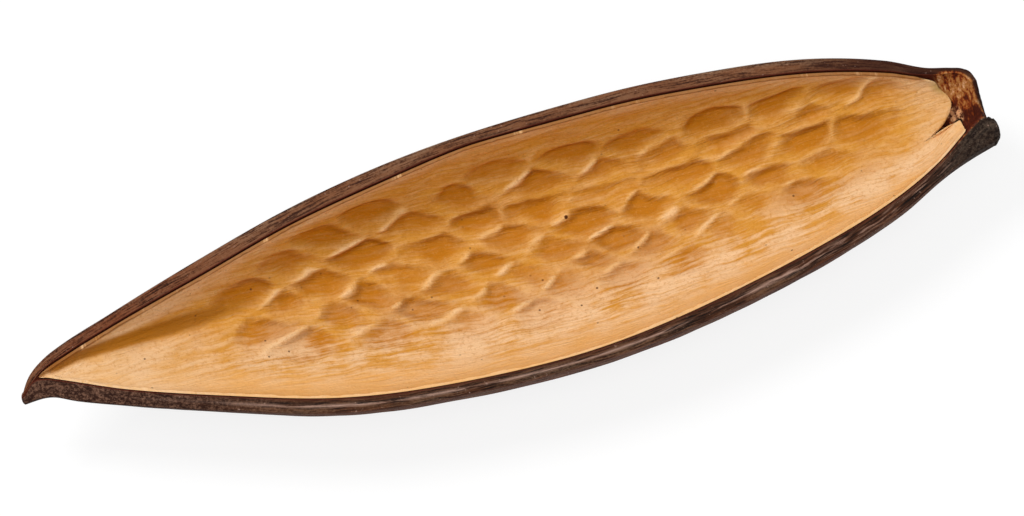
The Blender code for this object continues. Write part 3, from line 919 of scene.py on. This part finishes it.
@dataclass
class Lining:
    """The loose tan inner layer, with the net of seed hollows and its torn end."""

    form: PodForm
    zones: LiningZones = LiningZones()
    steps: int = 340
    points: int = 140
    gap: float = 0.3
    edge: float = 0.5
    floor: float = 1.0
    drop: float = 0.55
    start: float = 3.6
    nominal_end: float = 180.0
    tear_reach: float = 7.0
    torn_end: SmoothCurve = SmoothCurve((
        (0.0, 178.2), (7.0, 179.6), (14.0, 180.8), (35.0, 181.7), (49.0, 182.7), (62.0, 183.1),
        (73.0, 182.5), (84.0, 181.2), (96.0, 178.8), (103.2, 177.7), (103.8, 183.0), (110.0, 183.7),
        (180.0, 184.0),
    ))
    strip_turn: float = 13.0
    tear_angle: float = 103.5
    end_level: float = 0.6
    seed_rows: tuple = (
        (18.0, 12.5, (97.0, 111.0, 124.0, 140.0, 152.0, 163.0)),
        (15.5, 9.5, (72.0, 89.0, 105.0, 117.5, 129.0, 141.0, 156.0, 169.0)),
        (12.0, 5.0, (62.0, 80.0, 91.0, 104.0, 117.0, 131.0, 144.0, 155.0, 166.0)),
        (7.8, 0.5, (54.0, 68.0, 82.0, 97.0, 111.5, 124.0, 137.0, 148.0, 157.0)),
        (3.6, -3.2, (46.0, 60.0, 75.0, 91.0, 104.0, 116.5, 130.0, 143.0, 153.0)),
        (0.2, -5.4, (52.0, 68.0, 84.0, 98.0, 111.5, 123.0, 136.0)),
        (-3.6, -8.4, (48.0, 62.0, 78.0, 92.0, 105.0, 116.0, 127.0)),
        (-8.0, -10.4, (55.0, 70.0, 85.0, 98.0)),
    )
    seed_half: tuple[float, float] = (6.6, 3.7)
    hollow: float = 0.80
    crease: float = 0.38
    ridge: float = 0.42
    reach: tuple[float, float] = (1.6, 0.9)
    tilt: tuple[float, float] = (0.2, 0.45)
    thinnest: float = 0.35
    tatter: tuple[float, float] = (0.16, 0.20)
    net_edge: tuple[float, float] = (0.95, 1.6)

    def seeds(self) -> np.ndarray:
        """Give the middle of every seed hollow, as x and arc length from the valley."""
        places = []
        for first, last, row in self.seed_rows:
            for x in row:
                places.append((x, first + (x - row[0]) / (row[-1] - row[0]) * (last - first)))
        return np.array(places)

    def net(self, x: np.ndarray, across: np.ndarray) -> tuple[np.ndarray, np.ndarray, np.ndarray]:
        """Give the relief of the seed hollows and of the ridges between them.

        Each hollow has a steep upper wall and a long lower slope, as a seed that lay aslant leaves it. The
        ridges that climb away from the tip are the sharper ones.

        Args:
            x: Places along the pod.
            across: Arc lengths from the valley, positive towards the far side.

        Returns:
            How deep the hollows are at each place, how high the ridges, which the finish also paints with
            highlights, and how near the foot of an upper wall it is, where the finish paints shade, all
            from 0 to about 1.
        """
        spots = np.stack([x, 1.6 * across, np.zeros_like(x)], axis=-1)
        x = x + 2.2 * rough(spots, 10.0, 1.0) + 0.6 * rough(spots, 3.5, 2.0)
        across = across + 1.1 * rough(spots, 8.0, 5.0) + 0.35 * rough(spots, 3.5, 6.0)
        seeds = self.seeds() / self.seed_half
        u = x[..., None] / self.seed_half[0] - seeds[:, 0]
        v = across[..., None] / self.seed_half[1] - seeds[:, 1]
        away = np.hypot(u, v)
        order = np.argsort(away, axis=-1)[..., :3]
        first, second, third = np.moveaxis(np.take_along_axis(away, order, axis=-1), -1, 0)
        u, v = (np.take_along_axis(part, order[..., :1], axis=-1)[..., 0] for part in (u, v))
        apart = seeds[order[..., 1]] - seeds[order[..., 0]]
        climbs = smooth_step(0.1, 1.1, -apart[..., 0] * apart[..., 1])
        strength = 0.45 + 0.70 * (0.618 * order[..., 0] % 1.0)
        upper = smooth_step(-0.5, 0.5, v)
        reach = self.reach[0] + (self.reach[1] - self.reach[0]) * upper
        border = smooth_step(0.0, 1.0, (second - first) / reach)
        bowl = 1.0 - smooth_step(0.0, 1.0, (first - 0.5 - 0.1 * upper) / (0.85 - 0.4 * upper))
        deep = np.minimum(border, bowl) * (1.0 + self.tilt[0] * u + self.tilt[1] * v)
        inside = 1.0 - smooth_step(*self.net_edge, first)
        broken = smooth_step(-0.7, 0.6, rough(spots, 6.0, 3.0))
        joint = smooth_step(0.0, 0.6, third - second)
        ridge = bell(second - first, 0.0, 0.27) * (0.12 + 0.88 * climbs * joint)
        ridge *= inside * (0.35 + 0.65 * broken)
        alone = smooth_step(0.4, 1.2, second - first)
        arch = bell(np.minimum(second - first, 2.2 - 2.2 * first), 0.5, 0.5) * upper * inside
        arch *= strength * (1.0 - 0.7 * alone)
        return deep * strength * inside, ridge, arch

    def torn_x(self, x: np.ndarray, angle: np.ndarray) -> np.ndarray:
        """Draw stations out to the torn end, by their angle round the section."""
        pull = smooth_step(self.nominal_end - self.tear_reach, self.nominal_end, x)
        return x + pull * (self.torn_end.at(np.degrees(angle)) - self.nominal_end)

    def layer(self, x: np.ndarray, angle: np.ndarray, side: float, floor: float) -> np.ndarray:
        """Give points of the lining's back, or of its face.

        Args:
            x: Stations along the pod.
            angle: 0 on the far edge and pi on the near one.
            side: How far the layer stands inside the back at the edges.
            floor: How far it stands over the back at the valley.

        Returns:
            The points.
        """
        far, near, keel = self.form.cavity_edges(x)
        under = self.form.rim_crown + self.form.cavity_depth(x)
        drop = np.minimum(self.drop, 0.25 * under)
        far, near, depth = far - self.gap, near + self.gap, under - self.gap - drop
        side = np.minimum(side, 0.22 * (far - near))
        floor = np.minimum(floor, 0.4 * depth)
        full = self.form.fullness.at(x)
        y, z = self.form.section(far - side, near + side, keel, depth - floor, full, angle)
        return np.stack([x, y, z - drop], axis=-1)

    def wrinkles(self, x: np.ndarray, across: np.ndarray, strip: np.ndarray) -> np.ndarray:
        """Give the fine creases of the lining, which run with its fibres.

        Args:
            x: Places along the pod.
            across: Arc lengths from the valley.
            strip: 1 on the smooth strip along the near wall.

        Returns:
            The height of the creases, from about -1 to 1.
        """
        slanted = across - 0.10 * x
        long = rough_by_axis(x / 9.0, slanted / 1.9, 0.0, shift=2.0)
        fine = rough_by_axis(x / 4.0, slanted / 0.8, 0.0, shift=6.0)
        folds = rough_by_axis(x / 16.0, slanted / 3.4, 0.0, shift=9.0)
        tip = 1.0 - smooth_step(*self.zones.folded_tip, x)
        return (1.0 - 0.75 * strip) * (0.5 * long + 0.2 * fine + (0.3 + 0.6 * tip) * folds)

    def rings(self) -> tuple[np.ndarray, dict[str, np.ndarray]]:
        """Work out the lining's outlines: its back, then its face, which meets the back at both ends.

        Returns:
            The rings of points, and the finish's marks on them.
        """
        turn = np.linspace(0.0, math.pi, self.points + 1)[None, :]
        even = stations(self.start, self.nominal_end, self.steps, 0.16)[:, None] + np.zeros_like(turn)
        x = self.torn_x(even, turn)
        on_strip = turn > math.radians(self.tear_angle)
        lean = self.strip_turn * smooth_step(*self.zones.strip_leans, x) * on_strip
        leaning = turn - np.radians(lean) * (math.pi - turn) / math.radians(180.0 - self.tear_angle)
        back = self.layer(x, leaning, 0.0, 0.0)
        face = self.layer(x, leaning, self.edge, self.floor)
        wall = np.linalg.norm(face - back, axis=-1)
        step = np.linalg.norm(np.diff(face[..., 1:], axis=1), axis=-1)
        run = np.concatenate([np.zeros((len(x), 1)), np.cumsum(step, axis=1)], axis=1)
        across = run[:, self.points // 2, None] - run
        near_reach = np.maximum(run[:, -1:] - run[:, self.points // 2, None], 1.0)
        strip = smooth_step(0.42, 0.72, -across / near_reach)
        net, ridge, arch = self.net(x, across)
        crease = self.wrinkles(x, across, strip)
        from_edge = np.minimum(run, run[:, -1:] - run)
        soft = smooth_step(0.3, 2.0, from_edge)
        rise = (self.crease * crease + self.ridge * ridge) * soft - self.hollow * net
        ragged = self.tatter[0] * rough_by_axis(x / 1.1, run / 3.0, 0.0)
        ragged += self.tatter[1] * rough_by_axis(x / 6.0, run / 3.0, 0.0, shift=3.0)
        rise += ragged * (1.0 - smooth_step(0.0, 0.8, from_edge))
        rise = np.maximum(rise, -(1.0 - self.thinnest) * wall)
        tangent = np.gradient(face[..., 1:], axis=1)
        normal = np.stack([tangent[..., 1], -tangent[..., 0]], axis=-1)
        normal /= np.linalg.norm(normal, axis=-1, keepdims=True) + 1e-9
        face[..., 1:] += normal * rise[..., None]
        share = smooth_step(-0.1, 0.7, even - self.start) * smooth_step(-0.1, 0.5, self.nominal_end - even)
        share[0] = share[-1] = 0.0
        level = back + (face - back) * self.end_level
        back = level + (back - level) * share[..., None]
        face = level + (face - level) * share[..., None]
        marks = self.marks(x, across, run, net, strip)
        # ridge also carries the painted highlights on the ridges, and arch the painted shade under the
        # hollows' upper walls.
        marks |= {"ridge": ridge * soft, "arch": arch * soft}
        marks = {name: np.concatenate([m[:, ::-1], m], axis=1) for name, m in marks.items()}
        return self.form.droop(np.concatenate([back[:, ::-1], face], axis=1)), marks

    def marks(self, x: np.ndarray, across: np.ndarray, run: np.ndarray, net: np.ndarray,
              strip: np.ndarray) -> dict[str, np.ndarray]:
        """Say how each point of the face is coloured.

        Args:
            x: The points' places along the pod.
            across: Their arc lengths from the valley.
            run: Their arc lengths from the far edge.
            net: How deep the seed hollows are there.
            strip: 1 on the smooth strip along the near wall.

        Returns:
            The marks by name.
        """
        from_near = run[:, -1:] - run
        zones = self.zones
        lip = (1 - smooth_step(0.4, 4.6, run)) * (1 - 0.15 * smooth_step(*zones.far_edge_dims, x))
        above = run / np.maximum(0.4 * run[:, -1:], 1.0)
        lip += (1 - smooth_step(*zones.pale_tip, x)) * (1 - smooth_step(0.2, 0.8, above))
        edge = (1 - smooth_step(0.2, 1.0, from_near)) * 0.5
        tip = (1 - smooth_step(*zones.cream_tip, x)) * smooth_step(-1.5, 0.5, -across) * 0.8
        reach = np.maximum(from_near[:, self.points // 2, None], 1.0)
        shore = bell(-across / reach, 0.46, 0.26) * smooth_step(*zones.shore, x)
        end = smooth_step(*zones.pale_end, x) * 0.5
        # Partly a deeper tone, partly painted shade: the valley near the tip is marked for darkening.
        valley = bell(across - 0.9 - 0.02 * x, 0.0, 0.9 + 0.03 * x)
        valley_tone_and_shade = valley * smooth_step(*zones.valley_dark_start, x) * (1.0 - smooth_step(*zones.valley_dark_end, x))
        # Painted shade at the lining's torn corner, where it folds.
        shade = (1.0 - smooth_step(0.2, 2.2, x[-1:] - x)) * bell(run, 3.0, 1.6)
        return {
            "along": x.copy(),
            "across": across.copy(),
            "net": net,
            "strip": strip * (1 - 0.5 * tip),
            "shore": shore,
            "valley_tone_and_shade": valley_tone_and_shade,
            "shade": shade,
            "hem": 1.0 - smooth_step(0.3, 0.9, run),
            "pale": np.clip(lip + edge + tip + end - valley_tone_and_shade, 0.0, 1.0),
        }

    def build(self, place: Vector) -> bpy.types.Object:
        """Make the lining where its solid is.

        Args:
            place: Where the pod's own zero lies in the frame, in millimetres.

        Returns:
            The finished piece.
        """
        rings, marks = self.rings()
        piece = closed_skin("lining_skin", "lining", rings, marks, place)
        piece.data.materials.append(LiningFinish().make())
        return piece


class Lamp(Enum):
    """The studio's lamps: direction from the pod in camera terms, distance, size and strength."""

    KEY = ((-0.42, 0.52, 0.72), 0.80, 0.34, 3.8)
    FILL = ((0.10, 0.00, 1.00), 1.30, 0.80, 4.5)


@dataclass
class Studio:
    """The pale floor, the soft lamps and the camera at the photograph's viewing angle."""

    azimuth: float = math.radians(-15.62)
    elevation: float = math.radians(75.0)
    distance: float = 1.6
    sensor: float = 36.0
    picture: tuple[int, int] = (1024, 516)
    tip_pixel: tuple[float, float] = (24.0, 395.0)
    pixel: float = 0.1867 * MM
    floor_half: float = 1.6
    floor_gap: float = 0.1 * MM
    floor_colour: Colour = (0.22, 0.22, 0.22)
    floor_cloud: Colour = (0.18, 0.18, 0.18)
    sky: float = 0.42
    glow: float = 0.80

    def axes(self) -> tuple[Vector, Vector, Vector]:
        """Give the camera's right, up and backward directions."""
        level = math.cos(self.elevation)
        turned = (math.sin(self.azimuth) * level, -math.cos(self.azimuth) * level)
        back = Vector((*turned, math.sin(self.elevation)))
        right = Vector((math.cos(self.azimuth), math.sin(self.azimuth), 0.0))
        return right, back.cross(right), back

    def aim(self, tip: Vector) -> Vector:
        """Find the point that the middle of the picture shows.

        Args:
            tip: The tip of the pod, at its rim.

        Returns:
            The point, in the plane of the tip that faces the camera.
        """
        right, up, _ = self.axes()
        across = self.picture[0] / 2 - self.tip_pixel[0]
        rise = self.tip_pixel[1] - self.picture[1] / 2
        return tip + right * across * self.pixel + up * rise * self.pixel

    def camera(self, target: Vector) -> None:
        """Set the camera up to look at a target."""
        data = bpy.data.cameras.new("camera")
        data.sensor_width = self.sensor
        data.lens = self.sensor * self.distance / (self.picture[0] * self.pixel)
        thing = add_object("camera", data)
        right, up, back = self.axes()
        turn = Matrix((right, up, back)).transposed().to_4x4()
        thing.matrix_world = Matrix.Translation(target + back * self.distance) @ turn
        bpy.context.scene.camera = thing

    def lamp(self, kind: Lamp, target: Vector) -> None:
        """Hang one lamp, pointed at a target."""
        direction, distance, size, power = kind.value
        right, up, back = self.axes()
        way = (right * direction[0] + up * direction[1] + back * direction[2]).normalized()
        data = bpy.data.lights.new(kind.name.lower(), "AREA")
        data.shape, data.size, data.energy = "DISK", size, power
        thing = add_object(kind.name.lower(), data)
        thing.location = target + way * distance
        thing.rotation_euler = (-way).to_track_quat("-Z", "Y").to_euler()

    def floor(self) -> None:
        """Lay the pale floor under the pod, lit a little from below as a light table is."""
        shape = bmesh.new()
        bmesh.ops.create_grid(shape, x_segments=1, y_segments=1, size=self.floor_half)
        bmesh.ops.translate(shape, verts=shape.verts, vec=(0.0, 0.0, -self.floor_gap))
        mesh = bpy.data.meshes.new("floor")
        shape.to_mesh(mesh)
        shape.free()
        skin = Finish("pale_floor")
        skin.surface.inputs["Emission Color"].default_value = (1.0, 1.0, 1.0, 1.0)
        skin.surface.inputs["Emission Strength"].default_value = self.glow
        cloud = skin.lumps(skin.place(), 9.0, 2.0)
        colour = skin.blend(cloud * 0.06, self.floor_colour, self.floor_cloud)
        normal = skin.bump(cloud, 0.01, 0.1)
        mesh.materials.append(skin.close(colour, 0.8 + 0.1 * cloud, normal, 0.2))
        add_object("floor", mesh)

    def light(self) -> None:
        """Fill the room with soft white light."""
        world = bpy.data.worlds.new("soft_room")
        world.use_nodes = True
        back = world.node_tree.nodes["Background"]
        back.inputs["Color"].default_value = (1.0, 1.0, 1.0, 1.0)
        back.inputs["Strength"].default_value = self.sky
        bpy.context.scene.world = world
        bpy.context.scene.view_settings.view_transform = "Standard"

    def build(self, tip: Vector) -> None:
        """Set up the whole studio round a pod whose tip is given."""
        target = self.aim(tip)
        self.floor()
        self.light()
        for kind in Lamp:
            self.lamp(kind, target)
        self.camera(target)


def pod_place(form: PodForm) -> Vector:
    """Find where the pod's own zero lies in the frame.

    Args:
        form: The pod's curves.

    Returns:
        The shift from the pod's own coordinates to the frame, in millimetres.
    """
    low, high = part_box("husk")
    x = np.linspace(60.0, 160.0, 400)[:, None] + np.zeros((1, 121))
    angle = np.broadcast_to(np.linspace(0.0, math.pi, 121), x.shape)
    y, _ = Husk(form).outside(x, angle)
    middle = (y.min() + y.max()) / 2
    depth = max(value for _, value in form.keel_depth.points)
    return Vector((low.x / MM + form.beak_end, (low.y + high.y) / 2 / MM - middle, depth - form.rest_cut))


def main() -> None:
    """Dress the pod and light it."""
    logging.basicConfig(level=logging.INFO, format="%(message)s")
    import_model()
    form = PodForm()
    place = pod_place(form)
    LOG.info("pod's zero at %s mm", [round(value, 2) for value in place])
    for part in (Husk(form), Lining(form)):
        piece = part.build(place)
        LOG.info("%s: %d faces", piece.name, len(piece.data.polygons))
    Studio().build(place * MM)


if __name__ == "__main__":
    main()
